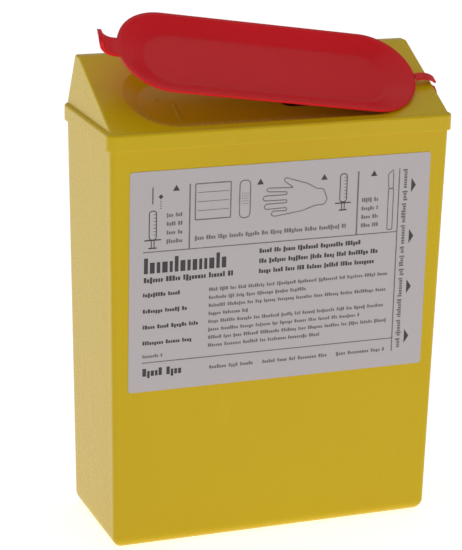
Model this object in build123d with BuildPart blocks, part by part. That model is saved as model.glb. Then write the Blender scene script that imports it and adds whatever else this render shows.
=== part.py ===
from build123d import *
from math import atan, cos, degrees, radians, sin
import os

os.makedirs("parts", exist_ok=True)

# Sharps container, millimetres. The origin is the centre of the resting face, +Z is up,
# +X runs along the ridge and -Y is the labelled front.

# Tub: a drafted box that grows towards its mouth
base_length = 159.8
base_depth = 65.4
rim_length = 165.9
rim_depth = 70.8
rim_height = 193.4
tub_height = 199.4
wall = 1.8
floor = 2.6
corner_radius = 2.5
bottom_radius = 5.5
cavity_corner = 1.5
cavity_radius = 4.0
groove_inset = 14.0
groove_width = 2.0
groove_depth = 0.8

# Snap bead that holds the lid for good
bead_height = 1.0
bead_level = 196.0
bead_reach = 0.5
fit_gap = 0.15

# Lid: a band round the mouth and a gabled roof with a long front slope
band_overhang = 1.5
band_top = 201.2
band_shoulder = 1.4
roof_length = 165.4
roof_depth = 70.4
ridge_height = 226.8
ridge_front = 15.2
ridge_back = 21.8
ridge_radius = 2.2
gable_radius = 1.0
roof_wall = 1.8

# Seat: a shallow pan in the front slope, with openings in its deck
seat_length = 138.0
seat_width = 45.0
seat_middle = -0.8
seat_rise = 0.8
seat_run = 7.5
seat_depth = 4.5
seat_wall = 1.8
waste_length = 42.0
waste_width = 15.0
waste_shift = 25.8
needle_radius = 3.6
needle_slot = 2.2
needle_low = 7.0
needle_high = 11.0
needle_shifts = (-33.2, -24.2)
blade_length = 15.0
blade_width = 3.4
blade_shift = 53.0
rib_width = 1.2
rib_height = 0.45
rib_shift = -45.2
pip_radius = 0.8
pip_height = 0.5
pip_shift = -52.1
pip_rise = 3.2

# Closure: a dish that stands in the seat, with a sealing bead under its floor
closure_length = 147.4
closure_width = 48.0
closure_wall = 1.5
dish_run = 7.5
dish_end_run = 12.0
dish_depth = 5.4
dish_fillet = 3.0
seal_gap = 1.55
seal_height = 1.0
seal_wall = 1.5
seal_reach = 2.5
tab_width = 10.0
tab_root = 1.2
tab_reach = 1.5
tab_curl = 9.6
tab_angle = 84.0
tab_wall = 1.8
tab_tip = 4.4

# Strap: a thin tongue between the closure and the right gable
strap_width = 4.2
strap_wall = 1.1
strap_end = 84.8
strap_arch = 1.2
hinge_gap = 0.45
tail_drop = 1.9
tail_width = 7.0
tail_length = 8.2
button_drop = 6.2
button_radius = 3.0
button_head = 1.0
stem_radius = 2.0

# The closure at rest: the tip of its dish on the slope, and its turn away from shut
tip_x = 72.9
tip_y = -13.9
rest_tilt = 9.9
rest_lift = 7.9
rest_skew = -2.5

# Label on the front wall
label_length = 148.0
label_height = 105.0
label_level = 130.8
label_wall = 0.2
label_radius = 1.5
label_lift = 0.02

# Growth of the half sizes of the tub for each millimetre of height
draft_x = (rim_length - base_length) / 2 / rim_height
draft_y = (rim_depth - base_depth) / 2 / rim_height

# The front slope, with its own plane through the tip of the shut closure
roof_front = -roof_depth / 2
slope_rise = (ridge_height - band_top) / (ridge_front - roof_front)
slope_angle = degrees(atan(slope_rise))
slope_normal = Vector(0, -sin(radians(slope_angle)), cos(radians(slope_angle)))
tip_on_slope = Vector(tip_x, tip_y, band_top + slope_rise * (tip_y - roof_front))
slope_plane = Plane(tip_on_slope, x_dir=(1, 0, 0), z_dir=slope_normal)
shut_height = dish_depth + closure_wall / 2 + seal_gap - seat_depth
shut_plane = slope_plane.offset(shut_height)
rest_plane = shut_plane.rotated((rest_tilt, rest_lift, rest_skew))


def drafted_side(base, draft, inset, bottom, top):
    """The outline of the tub along one axis, moved in by inset and cut off at two heights."""
    low = base / 2 - inset + draft * bottom
    high = base / 2 - inset + draft * top
    return ((-low, bottom), (low, bottom), (high, top), (-high, top))


def drafted_box(inset, bottom, top, lower_radius, corner):
    """The form of the tub: its outline along the length crossed with that along the depth."""
    with BuildPart() as form:
        with BuildSketch(Plane.XZ):
            with BuildLine():
                Polyline(*drafted_side(base_length, draft_x, inset, bottom, top), close=True)
            make_face()
        extrude(amount=rim_depth, both=True)
        with BuildSketch(Plane.YZ):
            with BuildLine():
                Polyline(*drafted_side(base_depth, draft_y, inset, bottom, top), close=True)
            make_face()
        extrude(amount=rim_length, both=True, mode=Mode.INTERSECT)
        fillet(form.edges().filter_by(lambda edge: bottom < edge.center().Z < top), corner)
        fillet(form.edges().group_by(Axis.Z)[0], lower_radius)
    return form.part


def flared_slot(plane, length, width, end_run, side_run, depth):
    """A slot-shaped block that narrows over its depth, hanging from a plane."""
    with BuildPart() as block:
        with BuildSketch(plane):
            SlotOverall(length, width)
        with BuildSketch(plane.offset(-depth)):
            SlotOverall(length - 2 * end_run, width - 2 * side_run)
        loft(ruled=True)
    return block.part


# ---- tub
with BuildPart() as tub:
    add(drafted_box(0, 0, tub_height, bottom_radius, corner_radius))
    with BuildSketch(Plane.XY.offset(bead_level)):
        RectangleRounded(rim_length + 2 * bead_reach, rim_depth + 2 * bead_reach, corner_radius)
    extrude(amount=bead_height)
    cavity = drafted_box(wall, floor, tub_height + 1, cavity_radius, cavity_corner)
    add(cavity, mode=Mode.SUBTRACT)
    # groove in the base that leaves a level pad and a level foot
    pad_length = base_length - 2 * groove_inset
    pad_depth = base_depth - 2 * groove_inset
    with BuildSketch(Plane.XY):
        RectangleRounded(pad_length, pad_depth, corner_radius)
        inner_radius = corner_radius - groove_width
        RectangleRounded(
            pad_length - 2 * groove_width, pad_depth - 2 * groove_width, inner_radius, mode=Mode.SUBTRACT
        )
    extrude(amount=groove_depth, mode=Mode.SUBTRACT)
tub.part.label = "tub"
export_step(tub.part, "parts/tub.step")

# ---- lid
band_length = rim_length + 2 * band_overhang
band_depth = rim_depth + 2 * band_overhang
seat_plane = Plane(
    slope_plane.from_local_coords((seat_middle - tip_x, seat_rise, 0)),
    x_dir=(1, 0, 0),
    z_dir=slope_normal,
)
ceiling = tub_height + fit_gap
roof_outline = (
    (roof_front, rim_height),
    (roof_front, band_top),
    (ridge_front, ridge_height),
    (ridge_back, ridge_height),
    (roof_depth / 2, band_top),
    (roof_depth / 2, rim_height),
)
with BuildPart() as roof:
    with BuildSketch(Plane.YZ.offset(-roof_length / 2)):
        with BuildLine():
            Polyline(*roof_outline, close=True)
        make_face()
    extrude(amount=roof_length)
    fillet(roof.edges().filter_by(Axis.X).group_by(Axis.Z)[-1], ridge_radius)
    gable_ends = roof.faces().sort_by(Axis.X)
    gable_edges = (gable_ends[0].edges() + gable_ends[-1].edges()).filter_by(
        lambda edge: edge.center().Z > band_top + 0.1
    )
    fillet(gable_edges, gable_radius)
with BuildPart() as roof_hollow:
    with BuildSketch(Plane.YZ.offset(-roof_length / 2 + roof_wall)):
        with BuildLine():
            Polyline(*roof_outline, close=True)
        make_face()
        offset(amount=-roof_wall, kind=Kind.INTERSECTION)
    extrude(amount=roof_length - 2 * roof_wall)
with BuildPart() as lid:
    with BuildSketch(Plane.XY.offset(rim_height)):
        RectangleRounded(band_length, band_depth, corner_radius + band_overhang)
    extrude(amount=band_top - rim_height)
    fillet(lid.edges().group_by(Axis.Z)[-1], band_shoulder)
    add(roof.part)
    add(roof_hollow.part, mode=Mode.SUBTRACT)
    for bottom, top, gap in (
        (rim_height, ceiling, fit_gap),
        (bead_level - fit_gap, bead_level + bead_height + fit_gap, fit_gap + bead_reach),
    ):
        with BuildSketch(Plane.XY.offset(bottom)):
            RectangleRounded(rim_length + 2 * gap, rim_depth + 2 * gap, corner_radius)
        extrude(amount=top - bottom, mode=Mode.SUBTRACT)
    # the pan of the seat, then its hollow
    add(
        flared_slot(
            seat_plane.offset(-roof_wall / 2),
            seat_length + seat_wall,
            seat_width + seat_wall,
            seat_run,
            seat_run,
            seat_depth + seat_wall - roof_wall / 2,
        )
    )
    pan = flared_slot(seat_plane, seat_length, seat_width, seat_run, seat_run, seat_depth)
    add(pan, mode=Mode.SUBTRACT)
    # low rib across the lower half of the pan
    rib_plane = Plane(
        seat_plane.from_local_coords((rib_shift - rib_width / 2, 0, 0)),
        x_dir=seat_plane.y_dir,
        z_dir=seat_plane.x_dir,
    )
    rib_top = rib_height - seat_depth
    rib_foot = seat_run - seat_width / 2
    with BuildSketch(rib_plane):
        with BuildLine():
            Polyline(
                (-seat_width / 2, -rib_height),
                (-seat_width / 2 + rib_height, 0),
                (rib_foot + rib_height, rib_top),
                (0, rib_top),
                (0, -seat_depth - rib_height),
                (rib_foot, -seat_depth - rib_height),
                close=True,
            )
        make_face()
    extrude(amount=rib_width)
    # pip left by the moulding gate
    with BuildSketch(seat_plane.offset(-seat_depth)):
        with Locations((pip_shift, pip_rise)):
            Circle(pip_radius)
    extrude(amount=pip_height)
    # waste opening in the middle, needle keyholes on the left and a blade slot on the right
    with BuildSketch(seat_plane.offset(-seat_depth)):
        with Locations((waste_shift, 0)):
            SlotOverall(waste_length, waste_width)
        with Locations((blade_shift, 0)):
            SlotOverall(blade_length, blade_width, rotation=90)
        for shift in needle_shifts:
            with Locations((shift, needle_high)):
                Circle(needle_radius)
            with Locations((shift, (needle_low + needle_high) / 2)):
                SlotOverall(needle_high - needle_low + needle_slot, needle_slot, rotation=90)
    extrude(amount=-2 * seat_wall, mode=Mode.SUBTRACT)
    # hole in the right gable for the strap's button
    button_height = tip_on_slope.Z - button_drop
    with BuildSketch(Plane.YZ.offset(roof_length / 2 - 2 * roof_wall)):
        with Locations((tip_y, button_height)):
            Circle(stem_radius + fit_gap)
    extrude(amount=4 * roof_wall, mode=Mode.SUBTRACT)
lid.part.label = "lid"
export_step(lid.part, "parts/lid.step")

# ---- closure, drawn where it rests
dish_plane = Plane(
    rest_plane.from_local_coords((-closure_length / 2, 0, closure_wall / 2)),
    x_dir=rest_plane.x_dir,
    z_dir=rest_plane.z_dir,
)
inner_length = closure_length - 2 * closure_wall
inner_width = closure_width - 2 * closure_wall
with BuildPart() as dish_hollow:
    add(flared_slot(dish_plane, inner_length, inner_width, dish_end_run, dish_run, dish_depth))
    fillet(dish_hollow.faces().sort_by(Axis(dish_plane.origin, dish_plane.z_dir))[0].edges(), dish_fillet)
# thumb tab: a tongue past the left end of the dish that curls up to a round tip
tab_plane = Plane(
    dish_plane.from_local_coords((tab_root - closure_length / 2, -tab_width / 2, 0)),
    x_dir=-dish_plane.x_dir,
    z_dir=dish_plane.y_dir,
)
with BuildPart() as thumb_tab:
    with BuildSketch(tab_plane):
        with BuildLine():
            lower_root = Line((0, -tab_wall), (tab_root + tab_reach, -tab_wall))
            lower_curl = JernArc(lower_root @ 1, lower_root % 1, tab_curl, tab_angle)
            inward = (lower_curl % 1).rotate(Axis.Z, 90)
            tip = Line(lower_curl @ 1, lower_curl @ 1 + inward * tab_wall)
            upper_curl = JernArc(tip @ 1, lower_curl % 1 * -1, tab_curl - tab_wall, -tab_angle)
            upper_root = Line(upper_curl @ 1, (0, 0))
            Line(upper_root @ 1, lower_root @ 0)
        make_face()
    extrude(amount=tab_width)
    tip_edges = thumb_tab.edges().filter_by(lambda edge: abs(edge.length - tab_wall) < 0.01)
    fillet(tip_edges.sort_by(Axis(tab_plane.origin, tab_plane.x_dir))[-2:], tab_tip)
with BuildPart() as closure:
    with BuildSketch(dish_plane):
        SlotOverall(closure_length, closure_width)
    extrude(amount=-closure_wall)
    add(
        flared_slot(
            dish_plane.offset(-closure_wall / 2),
            closure_length - closure_wall,
            closure_width - closure_wall,
            dish_end_run,
            dish_run,
            dish_depth + closure_wall / 2,
        )
    )
    floor_face = closure.faces().sort_by(Axis(dish_plane.origin, dish_plane.z_dir))[0]
    fillet(floor_face.edges(), dish_fillet + closure_wall)
    add(dish_hollow.part, mode=Mode.SUBTRACT)
    # sealing bead under the floor, round the waste opening when the dish is shut
    seal_x = seat_middle + waste_shift - tip_x + closure_length / 2
    seal_length = waste_length + 2 * seal_reach
    seal_width = waste_width + 2 * seal_reach
    with BuildSketch(dish_plane.offset(-dish_depth - closure_wall)):
        with Locations((seal_x, seat_rise)):
            SlotOverall(seal_length, seal_width)
            SlotOverall(seal_length - 2 * seal_wall, seal_width - 2 * seal_wall, mode=Mode.SUBTRACT)
    extrude(amount=-seal_height)
    add(thumb_tab.part)
closure.part.label = "closure"
export_step(closure.part, "parts/closure.step")

# ---- strap between the dish and the gable, and its tail with the button
with BuildPart() as strap:
    strap_side = Plane(
        slope_plane.from_local_coords((0, -strap_width / 2, 0)),
        x_dir=(1, 0, 0),
        z_dir=slope_plane.y_dir,
    )
    with BuildSketch(strap_side):
        with BuildLine():
            near = (hinge_gap + strap_wall / 2, -shut_height)
            far = (strap_end - tip_x - hinge_gap - strap_wall / 2, -strap_wall)
            middle = ((near[0] + far[0]) / 2, (near[1] + far[1]) / 2 - strap_arch)
            ThreePointArc(near, middle, far)
            offset(amount=strap_wall / 2)
        make_face()
    extrude(amount=strap_width)
strap.part.label = "strap"
export_step(strap.part, "parts/strap.step")

gable = roof_length / 2
with BuildPart() as strap_tail:
    tail_top = tip_on_slope.Z - tail_drop
    with BuildSketch(Plane.YZ.offset(gable + label_lift)):
        with Locations((tip_y, tail_top - tail_length / 2)):
            RectangleRounded(tail_width, tail_length, tail_width / 3)
    extrude(amount=strap_wall)
    with BuildSketch(Plane.YZ.offset(gable + label_lift + strap_wall)):
        with Locations((tip_y, button_height)):
            Circle(button_radius)
    extrude(amount=button_head)
    with BuildSketch(Plane.YZ.offset(gable + label_lift)):
        with Locations((tip_y, button_height)):
            Circle(stem_radius)
    extrude(amount=-2 * roof_wall)
strap_tail.part.label = "strap_tail"
export_step(strap_tail.part, "parts/strap_tail.step")

# ---- label, parallel to the drafted front wall
front_y = -(base_depth / 2 + draft_y * label_level)
label_plane = Plane(
    (0, front_y, label_level),
    x_dir=(1, 0, 0),
    z_dir=(0, -1, -draft_y),
)
with BuildPart() as front_label:
    with BuildSketch(label_plane.offset(label_lift)):
        RectangleRounded(label_length, label_height, label_radius)
    extrude(amount=label_wall)
front_label.part.label = "front_label"
export_step(front_label.part, "parts/front_label.step")
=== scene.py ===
import math
import random

import bmesh
import bpy
from mathutils import Matrix, Vector


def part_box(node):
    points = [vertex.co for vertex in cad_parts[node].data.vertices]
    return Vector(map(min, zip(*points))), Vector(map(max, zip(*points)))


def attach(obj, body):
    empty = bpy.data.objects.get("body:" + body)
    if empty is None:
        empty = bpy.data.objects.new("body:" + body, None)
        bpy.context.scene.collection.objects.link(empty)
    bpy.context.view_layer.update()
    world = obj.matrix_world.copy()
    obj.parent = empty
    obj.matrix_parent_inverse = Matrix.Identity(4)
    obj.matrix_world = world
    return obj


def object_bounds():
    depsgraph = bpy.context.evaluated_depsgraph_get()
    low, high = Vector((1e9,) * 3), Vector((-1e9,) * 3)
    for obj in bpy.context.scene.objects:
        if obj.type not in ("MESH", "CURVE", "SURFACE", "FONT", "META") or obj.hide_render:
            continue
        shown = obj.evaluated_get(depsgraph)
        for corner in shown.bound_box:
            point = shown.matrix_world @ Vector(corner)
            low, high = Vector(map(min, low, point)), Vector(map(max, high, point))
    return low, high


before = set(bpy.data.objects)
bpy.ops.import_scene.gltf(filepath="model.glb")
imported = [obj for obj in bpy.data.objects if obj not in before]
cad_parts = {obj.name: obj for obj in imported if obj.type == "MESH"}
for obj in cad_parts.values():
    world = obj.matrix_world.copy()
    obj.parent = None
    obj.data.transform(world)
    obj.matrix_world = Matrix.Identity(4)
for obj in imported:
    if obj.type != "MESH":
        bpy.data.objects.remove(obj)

# Sharps container in metres. +Z is up, -Y is the labelled front and +X is the strap's end.
mm = 0.001
cadLow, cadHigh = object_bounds()
scene = bpy.context.scene
print("frame loaded")


# stage: floor, soft lights and camera

stage = {
    "floorSize": 9.0,
    "floorColour": (0.86, 0.86, 0.86),
    "floorGlow": 0.72,
    "worldColour": (0.97, 0.98, 1.0),
    "worldGlow": 0.31,
}

# each softbox: place, the point it faces, width, height, glow in W per square metre, colour
softBoxes = {
    "topSoftBox": ((0.15, 0.0, 1.35), (0, 0, 0.2), 1.5, 1.2, 1.6, (1.0, 0.97, 0.95)),
    "leftSoftBox": ((-1.15, 0.65, 0.95), (0, 0, 0.15), 0.8, 0.9, 2.7, (0.97, 1.0, 0.80)),
    "frontSoftBox": ((0.55, -0.75, 0.06), (0.10, 0, 0.03), 0.6, 0.3, 3.4, (1.0, 1.0, 0.97)),
}

cameraRig = {
    "azimuth": -20.596,
    "elevation": 16.78,
    "roll": 1.092,
    "distance": 1.0316,
    "aim": (-0.0117, 0.0, 0.1201),
    "lens": 141.04,
    "sensor": 36.0,
}


def makeMaterial(name):
    material = bpy.data.materials.new(name)
    material.use_nodes = True
    tree = material.node_tree
    return material, tree, tree.nodes["Principled BSDF"]


def makeFloor():
    bpy.ops.mesh.primitive_plane_add(size=stage["floorSize"], location=(0, 0, cadLow.z - 0.2 * mm))
    floor = bpy.context.object
    floor.name = "studioFloor"
    material, tree, shader = makeMaterial("paleFloor")
    shader.inputs["Base Color"].default_value = (*stage["floorColour"], 1)
    shader.inputs["Roughness"].default_value = 0.9
    shader.inputs["Specular IOR Level"].default_value = 0.1
    shader.inputs["Emission Color"].default_value = (1, 1, 1, 1)
    shader.inputs["Emission Strength"].default_value = stage["floorGlow"]
    floor.data.materials.append(material)


def makeLights():
    for name, (place, target, width, height, glow, colour) in softBoxes.items():
        data = bpy.data.lights.new(name, "AREA")
        data.shape = "RECTANGLE"
        data.size = width
        data.size_y = height
        data.energy = glow * width * height
        data.color = colour
        lamp = bpy.data.objects.new(name, data)
        lamp.location = place
        lamp.rotation_euler = (Vector(target) - Vector(place)).to_track_quat("-Z", "Y").to_euler()
        scene.collection.objects.link(lamp)
    world = bpy.data.worlds.new("softStudio")
    world.use_nodes = True
    background = world.node_tree.nodes["Background"]
    background.inputs["Color"].default_value = (*stage["worldColour"], 1)
    background.inputs["Strength"].default_value = stage["worldGlow"]
    scene.world = world
    scene.view_settings.view_transform = "Standard"


def makeCamera():
    azimuth = math.radians(cameraRig["azimuth"])
    elevation = math.radians(cameraRig["elevation"])
    roll = math.radians(cameraRig["roll"])
    back = Vector((
        math.sin(azimuth) * math.cos(elevation),
        -math.cos(azimuth) * math.cos(elevation),
        math.sin(elevation),
    ))
    levelRight = Vector((math.cos(azimuth), math.sin(azimuth), 0))
    levelUp = back.cross(levelRight)
    right = levelRight * math.cos(roll) + levelUp * math.sin(roll)
    up = levelUp * math.cos(roll) - levelRight * math.sin(roll)
    data = bpy.data.cameras.new("mainCamera")
    data.lens = cameraRig["lens"]
    data.sensor_width = cameraRig["sensor"]
    camera = bpy.data.objects.new("mainCamera", data)
    place = Vector(cameraRig["aim"]) + back * cameraRig["distance"]
    camera.matrix_world = Matrix.Translation(place) @ Matrix((right, up, back)).transposed().to_4x4()
    scene.collection.objects.link(camera)
    scene.camera = camera


makeFloor()
makeLights()
makeCamera()
print("stage ready")


# effects that several materials share

def newGroup(name, inputs, outputs):
    group = bpy.data.node_groups.new(name, "ShaderNodeTree")
    for title, value in inputs.items():
        kind = "NodeSocketColor" if isinstance(value, tuple) else "NodeSocketFloat"
        socket = group.interface.new_socket(title, in_out="INPUT", socket_type=kind)
        socket.default_value = value
    for title, kind in outputs.items():
        group.interface.new_socket(title, in_out="OUTPUT", socket_type=kind)
    return group, group.nodes.new("NodeGroupInput"), group.nodes.new("NodeGroupOutput")


def mathNode(tree, operation, first, second):
    node = tree.nodes.new("ShaderNodeMath")
    node.operation = operation
    for socket, value in zip(node.inputs, (first, second)):
        if isinstance(value, (int, float)):
            socket.default_value = value
        else:
            tree.links.new(value, socket)
    return node.outputs[0]


def noiseNode(tree, coordinate, scale, detail=3.0, rough=0.5):
    node = tree.nodes.new("ShaderNodeTexNoise")
    node.inputs["Detail"].default_value = detail
    node.inputs["Roughness"].default_value = rough
    if isinstance(scale, (int, float)):
        node.inputs["Scale"].default_value = scale
    else:
        tree.links.new(scale, node.inputs["Scale"])
    tree.links.new(coordinate, node.inputs["Vector"])
    return node.outputs["Fac"]


def rangeNode(tree, value, low, high, newLow=0.0, newHigh=1.0):
    node = tree.nodes.new("ShaderNodeMapRange")
    node.inputs["From Min"].default_value = low
    node.inputs["From Max"].default_value = high
    node.inputs["To Min"].default_value = newLow
    node.inputs["To Max"].default_value = newHigh
    tree.links.new(value, node.inputs["Value"])
    return node.outputs["Result"]


def mixColours(tree, amount, first, second):
    node = tree.nodes.new("ShaderNodeMix")
    node.data_type = "RGBA"
    for title, value in (("Factor", amount), ("A", first), ("B", second)):
        socket = node.inputs[title]
        if isinstance(value, tuple):
            socket.default_value = value
        else:
            tree.links.new(value, socket)
    return node.outputs["Result"]


def makeMouldedSkin():
    # melt clouds, fine grain, rounded edges (also a mask for a painted highlight along them) and
    # handling scuffs of a moulded plastic wall
    group, given, made = newGroup(
        "mouldedSkin",
        {"Cloud Scale": 9.0, "Grain Scale": 900.0, "Scuff Scale": 60.0, "Edge Reach": 0.0009},
        {
            "Cloud": "NodeSocketFloat",
            "Grain": "NodeSocketFloat",
            "Scuff": "NodeSocketFloat",
            "Edge": "NodeSocketFloat",
            "Soft Normal": "NodeSocketVector",
        },
    )
    place = group.nodes.new("ShaderNodeTexCoord").outputs["Object"]
    cloud = noiseNode(group, place, given.outputs["Cloud Scale"], 2.0, 0.45)
    group.links.new(rangeNode(group, cloud, 0.3, 0.7), made.inputs["Cloud"])
    grain = noiseNode(group, place, given.outputs["Grain Scale"], 2.0, 0.6)
    group.links.new(grain, made.inputs["Grain"])
    stretch = group.nodes.new("ShaderNodeMapping")
    stretch.inputs["Scale"].default_value = (1.0, 1.0, 0.25)
    group.links.new(place, stretch.inputs["Vector"])
    scuff = noiseNode(group, stretch.outputs["Vector"], given.outputs["Scuff Scale"], 4.0, 0.7)
    group.links.new(rangeNode(group, scuff, 0.60, 0.78), made.inputs["Scuff"])
    bevel = group.nodes.new("ShaderNodeBevel")
    bevel.samples = 6
    group.links.new(given.outputs["Edge Reach"], bevel.inputs["Radius"])
    geometry = group.nodes.new("ShaderNodeNewGeometry")
    facing = group.nodes.new("ShaderNodeVectorMath")
    facing.operation = "DOT_PRODUCT"
    group.links.new(bevel.outputs["Normal"], facing.inputs[0])
    group.links.new(geometry.outputs["True Normal"], facing.inputs[1])
    # Edge marks the rounded edges; the plastics lighten them there as a painted highlight
    edgeHighlight = rangeNode(group, facing.outputs["Value"], 0.995, 0.86)
    group.links.new(edgeHighlight, made.inputs["Edge"])
    group.links.new(bevel.outputs["Normal"], made.inputs["Soft Normal"])
    return group


def placeGroup(tree, group, values):
    node = tree.nodes.new("ShaderNodeGroup")
    node.node_tree = group
    for title, value in values.items():
        node.inputs[title].default_value = value
    return node


def colour(values):
    return (*values, 1.0)


def addBump(tree, shader, height, distance, normal=None):
    bump = tree.nodes.new("ShaderNodeBump")
    bump.inputs["Strength"].default_value = 1.0
    bump.inputs["Distance"].default_value = distance
    tree.links.new(height, bump.inputs["Height"])
    if normal is not None:
        tree.links.new(normal, bump.inputs["Normal"])
    tree.links.new(bump.outputs["Normal"], shader.inputs["Normal"])


mouldedSkin = makeMouldedSkin()
print("shared effects ready")


# moulded plastics

yellowWall = {
    "colour": (0.72, 0.50, 0.004),
    "deepColour": (0.69, 0.465, 0.003),
    # the pale colour below is painted on rounded edges as a highlight, by the amount below, and is also
    # the colour of real scuffs
    "highlightAndScuffColour": (0.86, 0.70, 0.05),
    "edgeHighlightAmount": 0.45,
    "scuffAmount": 0.10,
    "roughness": (0.22, 0.30),
    "specular": 0.22,
    "grainDepth": 0.008 * mm,
    "skin": {"Cloud Scale": 8.0, "Grain Scale": 1400.0, "Scuff Scale": 45.0, "Edge Reach": 0.7 * mm},
}

redShell = {
    "colour": (0.78, 0.012, 0.020),
    "deepColour": (0.73, 0.010, 0.017),
    # the paler red below is painted on rounded edges as a highlight, by the amount below, and is also
    # the colour of real scuffs
    "highlightAndScuffColour": (0.66, 0.06, 0.06),
    "edgeHighlightAmount": 0.40,
    "scuffAmount": 0.06,
    "roughness": (0.26, 0.34),
    "specular": 0.20,
    "grainDepth": 0.006 * mm,
    "skin": {"Cloud Scale": 14.0, "Grain Scale": 1600.0, "Scuff Scale": 70.0, "Edge Reach": 0.6 * mm},
}


def makePlastic(name, look):
    material, tree, shader = makeMaterial(name)
    skin = placeGroup(tree, mouldedSkin, look["skin"])
    body = mixColours(tree, skin.outputs["Cloud"], colour(look["deepColour"]), colour(look["colour"]))
    # painted highlight: rounded edges are lightened towards the pale colour
    edgeHighlightMask = mathNode(tree, "MULTIPLY", skin.outputs["Edge"], look["edgeHighlightAmount"])
    body = mixColours(tree, edgeHighlightMask, body, colour(look["highlightAndScuffColour"]))
    scuffMask = mathNode(tree, "MULTIPLY", skin.outputs["Scuff"], look["scuffAmount"])
    body = mixColours(tree, scuffMask, body, colour(look["highlightAndScuffColour"]))
    tree.links.new(body, shader.inputs["Base Color"])
    low, high = look["roughness"]
    gloss = rangeNode(tree, skin.outputs["Grain"], 0.3, 0.7, low, high)
    gloss = mathNode(tree, "ADD", gloss, mathNode(tree, "MULTIPLY", skin.outputs["Scuff"], 0.08))
    tree.links.new(gloss, shader.inputs["Roughness"])
    addBump(tree, shader, skin.outputs["Grain"], look["grainDepth"], skin.outputs["Soft Normal"])
    shader.inputs["Specular IOR Level"].default_value = look["specular"]
    return material


def dress(node, material):
    part = bpy.data.objects[node]
    for place in part.material_slots:
        place.material = material


yellowPlastic = makePlastic("yellowPlastic", yellowWall)
redPlastic = makePlastic("redPlastic", redShell)
for node in ("tub", "lid"):
    dress(node, yellowPlastic)
for node in ("closure", "strap", "strap_tail"):
    dress(node, redPlastic)
print("plastics ready")


# label film

film = {
    "colour": (0.58, 0.525, 0.535),
    "mottle": (0.55, 0.495, 0.505),
    "roughness": (0.42, 0.52),
    "fibreScale": 700.0,
    "waveDepth": 0.02 * mm,
    "waveScale": 22.0,
}


def makeFilm():
    material, tree, shader = makeMaterial("labelFilm")
    place = tree.nodes.new("ShaderNodeTexCoord").outputs["Object"]
    fibre = noiseNode(tree, place, film["fibreScale"], 3.0, 0.6)
    wave = noiseNode(tree, place, film["waveScale"], 1.0)
    body = mixColours(tree, fibre, colour(film["mottle"]), colour(film["colour"]))
    tree.links.new(body, shader.inputs["Base Color"])
    low, high = film["roughness"]
    tree.links.new(rangeNode(tree, fibre, 0.3, 0.7, low, high), shader.inputs["Roughness"])
    addBump(tree, shader, wave, film["waveDepth"])
    return material


dress("front_label", makeFilm())
print("label film ready")


# print on the label: plain bars for text, and simple pictures
# places are in mm, across and down from the label's upper left corner

printSheet = {
    "lift": 0.02,  # how deep in the film the ink starts
    "thickness": 0.05,
    "weld": 0.001,
    "seed": 7,
}

ink = {
    "dark": (0.035, 0.028, 0.03),
    "soft": (0.16, 0.14, 0.145),
    "paleness": 1.7,  # how much lighter worn ink is
    "roughness": (0.38, 0.5),
    "wearScale": 260.0,
}

labelLow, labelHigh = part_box("front_label")
filmThickness = 0.2 * mm
labelLean = math.atan((labelHigh.y - filmThickness - labelLow.y) / (labelHigh.z - labelLow.z))
dice = random.Random(printSheet["seed"])


def labelPoint(across, down):
    inward = printSheet["lift"] * mm
    return Vector((
        labelLow.x + across * mm,
        labelLow.y + down * mm * math.sin(labelLean) + inward,
        labelHigh.z - down * mm * math.cos(labelLean),
    ))


def bar(left, top, right, bottom):
    return [[(left, top), (right, top), (right, bottom), (left, bottom)]]


def disc(across, down, radius, sides=8):
    turns = [2 * math.pi * step / sides for step in range(sides)]
    return [[(across + radius * math.cos(t), down + radius * math.sin(t)) for t in turns]]


def triangle(across, down, width, height, facing="up"):
    left, right = across - width / 2, across + width / 2
    top, bottom = down - height / 2, down + height / 2
    if facing == "up":
        return [[(left, bottom), (across, top), (right, bottom)]]
    return [[(left, top), (right, down), (left, bottom)]]


def rounded(corners, radius, steps=4):
    # a closed outline with its corners turned into arcs
    outline = []
    for index, corner in enumerate(corners):
        here = Vector(corner)
        before = Vector(corners[index - 1]) - here
        after = Vector(corners[(index + 1) % len(corners)]) - here
        reach = min(radius, before.length * 0.48, after.length * 0.48)
        start = here + before.normalized() * reach
        end = here + after.normalized() * reach
        for step in range(steps + 1):
            t = step / steps
            outline.append(tuple(start * (1 - t) ** 2 + here * (2 * t * (1 - t)) + end * t ** 2))
    return outline


def stroke(points, width):
    # a line of even width around a closed path, as one quad for each of its segments
    path = [Vector(p) for p in points]
    count = len(path)
    sides = []
    for index, here in enumerate(path):
        before = path[index - 1]
        after = path[(index + 1) % count]
        run = (after - before).normalized()
        across = Vector((-run.y, run.x)) * width / 2
        sides.append((here + across, here - across))
    quads = []
    for index, (left, right) in enumerate(sides):
        nextLeft, nextRight = sides[(index + 1) % count]
        quads.append([tuple(left), tuple(nextLeft), tuple(nextRight), tuple(right)])
    return quads


def box(left, top, right, bottom, radius, width):
    corners = [(left, top), (right, top), (right, bottom), (left, bottom)]
    return stroke(rounded(corners, radius), width)


def words(left, right, middle, height, pitch, upright=False):
    # a row of greeked words: small blocks with a few tall ones, in runs with gaps between them
    shapes = []
    place = left
    while place < right - pitch:
        length = dice.randint(3, 9)
        for letter in range(length):
            wide = pitch * dice.uniform(0.55, 0.85)
            if place + wide > right:
                break
            rise = height * (0.45 if letter == 0 or dice.random() < 0.25 else 0.0)
            drop = height * (0.35 if dice.random() < 0.10 else 0.0)
            block = (place, middle - height / 2 - rise, place + wide, middle + height / 2 + drop)
            shapes += bar(*block)
            place += wide + pitch * 0.22
        place += pitch * 0.8
    if upright:
        shapes = [[(down, across) for across, down in shape] for shape in shapes]
    return shapes


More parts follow.
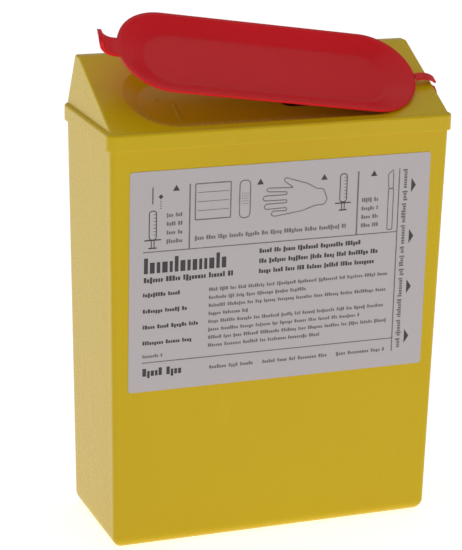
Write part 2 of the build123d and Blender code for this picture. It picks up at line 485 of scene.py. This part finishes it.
def syringe(across, top, bottom, flange):
    body = box(across - 1.7, top, across + 1.7, bottom - 4.2, 1.6, 0.45)
    body += bar(across - 4.0, flange - 0.3, across + 4.0, flange + 0.3)
    body += bar(across - 0.9, bottom - 4.2, across - 0.45, bottom)
    body += bar(across + 0.45, bottom - 4.2, across + 0.9, bottom)
    body += bar(across - 2.0, bottom - 0.6, across + 2.0, bottom)
    ticks = int((flange - top) / 1.6)
    for tick in range(1, ticks):
        level = top + 1.6 * tick
        body += bar(across + 0.3, level, across + 1.6, level + 0.25)
    return body


def glove():
    # palm and cuff on the right, thumb on top and four fingers that point left
    outline = [
        (94.0, 14.0), (96.0, 19.0), (94.6, 21.5), (90.0, 21.7), (83.5, 23.8),
        (70.0, 25.5), (68.0, 24.8), (69.0, 22.9),
        (75.8, 23.2), (75.8, 21.7), (65.4, 21.9), (64.6, 20.7), (65.6, 19.4), (75.8, 19.4), (75.8, 18.0),
        (64.8, 17.8), (63.8, 16.7), (64.8, 15.5), (75.8, 15.5), (75.8, 14.2), (66.6, 13.6), (65.4, 12.7),
        (66.8, 11.8), (79.0, 12.4), (74.2, 8.9), (74.8, 7.3), (77.5, 8.2), (86.0, 10.9), (90.5, 13.6),
    ]
    return stroke(rounded(outline, 0.9), 0.5)


def makeInk(name, tone):
    material, tree, shader = makeMaterial(name)
    place = tree.nodes.new("ShaderNodeTexCoord").outputs["Object"]
    wear = noiseNode(tree, place, ink["wearScale"], 3.0, 0.6)
    pale = tuple(value * ink["paleness"] for value in tone)
    body = mixColours(tree, rangeNode(tree, wear, 0.45, 0.8), colour(tone), colour(pale))
    tree.links.new(body, shader.inputs["Base Color"])
    low, high = ink["roughness"]
    tree.links.new(rangeNode(tree, wear, 0.3, 0.7, low, high), shader.inputs["Roughness"])
    return material


def printed(name, shapes, material):
    mesh = bpy.data.meshes.new(name)
    sheet = bmesh.new()
    for shape in shapes:
        sheet.faces.new([sheet.verts.new(labelPoint(*point)) for point in shape])
    bmesh.ops.remove_doubles(sheet, verts=sheet.verts, dist=printSheet["weld"] * mm)
    sheet.normal_update()
    for face in sheet.faces:
        if face.normal.y > 0:
            face.normal_flip()
    sheet.to_mesh(mesh)
    sheet.free()
    piece = bpy.data.objects.new(name, mesh)
    scene.collection.objects.link(piece)
    mesh.materials.append(material)
    body = piece.modifiers.new("thickness", "SOLIDIFY")
    body.thickness = printSheet["thickness"] * mm
    body.offset = 1.0
    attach(piece, "container")


darkInk = makeInk("darkInk", ink["dark"])
softInk = makeInk("softInk", ink["soft"])

zones = {
    "rules": (  # left, top, right and bottom of each thin bar between the zones
        (6.5, 37.5, 132.2, 38.0),
        (6.5, 90.6, 132.2, 91.1),
        (132.0, 7.0, 132.6, 97.5),
        (28.2, 7.0, 28.9, 37.5),
        (111.0, 7.0, 111.8, 37.5),
    ),
    "upTriangles": (22.0, 62.6, 94.2, 119.3),
    "sideTriangles": (15.5, 40.5, 65.5, 90.5),
    "dressingLines": (11.3, 15.6, 19.8),
}

headlineBlocks = {
    "left": 7.0,
    "foot": 48.0,
    "gap": 0.95,
    "sizes": (  # width and height of each block
        (1.9, 7.4), (2.3, 5.2), (1.7, 5.2), (2.6, 5.2), (1.5, 5.2), (1.8, 7.4), (2.4, 5.2),
        (1.6, 5.2), (2.2, 5.2), (1.5, 5.2), (1.5, 5.2), (2.5, 5.2), (1.7, 7.4), (2.2, 5.2),
    ),
}

textSizes = {  # height of a low block, and the pitch from one block to the next
    "mark": (2.6, 2.2),
    "subtitle": (1.7, 1.5),
    "summary": (1.5, 1.35),
    "heading": (1.3, 1.3),
    "caption": (1.4, 1.25),
    "body": (1.15, 1.15),
    "zone": (1.3, 1.2),
    "side": (1.5, 1.3),
    "code": (1.1, 1.1),
    "footer": (1.2, 1.3),
}

textRows = {
    "summary": ((41.8, 114.0), (46.7, 124.0), (51.6, 123.0)),
    "heading": ((58.4, 25.0), (66.2, 28.5), (73.9, 34.5), (81.6, 30.5)),
    "bodyEnds": (129.0, 88.5, 128.5, 59.0, 129.0, 115.5, 129.0, 95.5),
    "bodyPitch": 3.88,
    "zonePitch": 4.1,
    "footer": ((39.5, 62.0), (66.0, 99.0), (103.5, 129.0)),
}

rules = []
for edges in zones["rules"]:
    rules += bar(*edges)
printed("printedRules", rules, softInk)

signs = syringe(11.0, 18.5, 36.3, 32.2) + syringe(104.0, 7.6, 25.3, 21.6)
signs += bar(10.6, 7.5, 11.1, 15.3)
signs += [[(14.7, 10.9), (15.9, 12.1), (14.7, 13.3), (13.5, 12.1)]]
for dot in range(4):
    signs += disc(14.7, 14.2 + 1.1 * dot, 0.28)
for across in zones["upTriangles"]:
    signs += triangle(across, 8.4, 3.3, 2.8)
for down in zones["sideTriangles"]:
    signs += triangle(139.8, down, 2.4, 7.0, "right")
printed("printedSigns", signs, darkInk)

# a dressing, a plaster with its dots, a glove and a scalpel
outlines = box(31.2, 7.3, 48.3, 24.2, 0.4, 0.6) + box(52.6, 7.2, 57.8, 25.0, 2.5, 0.55)
for level in zones["dressingLines"]:
    outlines += bar(32.2, level, 47.4, level + 0.3)
for row in range(5):
    for column in range(4):
        outlines += disc(53.9 + 0.9 * column, 13.4 + 1.2 * row, 0.26)
outlines += glove()
outlines += box(127.0, 16.5, 129.6, 36.4, 0.7, 0.5)
outlines += stroke(rounded([(127.1, 16.5), (126.6, 9.5), (129.2, 7.2), (129.4, 16.5)], 0.9), 0.5)
printed("printedPictures", outlines, softInk)

headline = []
place = headlineBlocks["left"]
foot = headlineBlocks["foot"]
for wide, rise in headlineBlocks["sizes"]:
    headline += bar(place, foot - rise, place + wide, foot)
    place += wide + headlineBlocks["gap"]
headline += words(6.8, 27.0, 96.2, *textSizes["mark"])
printed("printedHeadline", headline, darkInk)

bold = words(7.0, 51.0, 51.4, *textSizes["subtitle"])
for level, right in textRows["summary"]:
    bold += words(63.0, right, level, *textSizes["summary"])
for level, right in textRows["heading"]:
    bold += words(6.7, right, level, *textSizes["heading"])
printed("printedBoldText", bold, darkInk)

text = words(31.2, 107.0, 33.1, *textSizes["caption"])
for index, right in enumerate(textRows["bodyEnds"]):
    text += words(38.6, right, 58.3 + textRows["bodyPitch"] * index, *textSizes["body"])
for row in range(4):
    drop = textRows["zonePitch"] * row
    text += words(17.6, 25.6, 21.2 + drop, *textSizes["zone"])
    text += words(113.6, 122.6, 21.3 + drop, *textSizes["zone"])
text += words(7.5, 97.0, 135.6, *textSizes["side"], upright=True)
text += words(6.7, 17.0, 88.0, *textSizes["code"])
for left, right in textRows["footer"]:
    text += words(left, right, 96.3, *textSizes["footer"])
printed("printedText", text, softInk)
print("label print ready")


# the end

print("finishing")
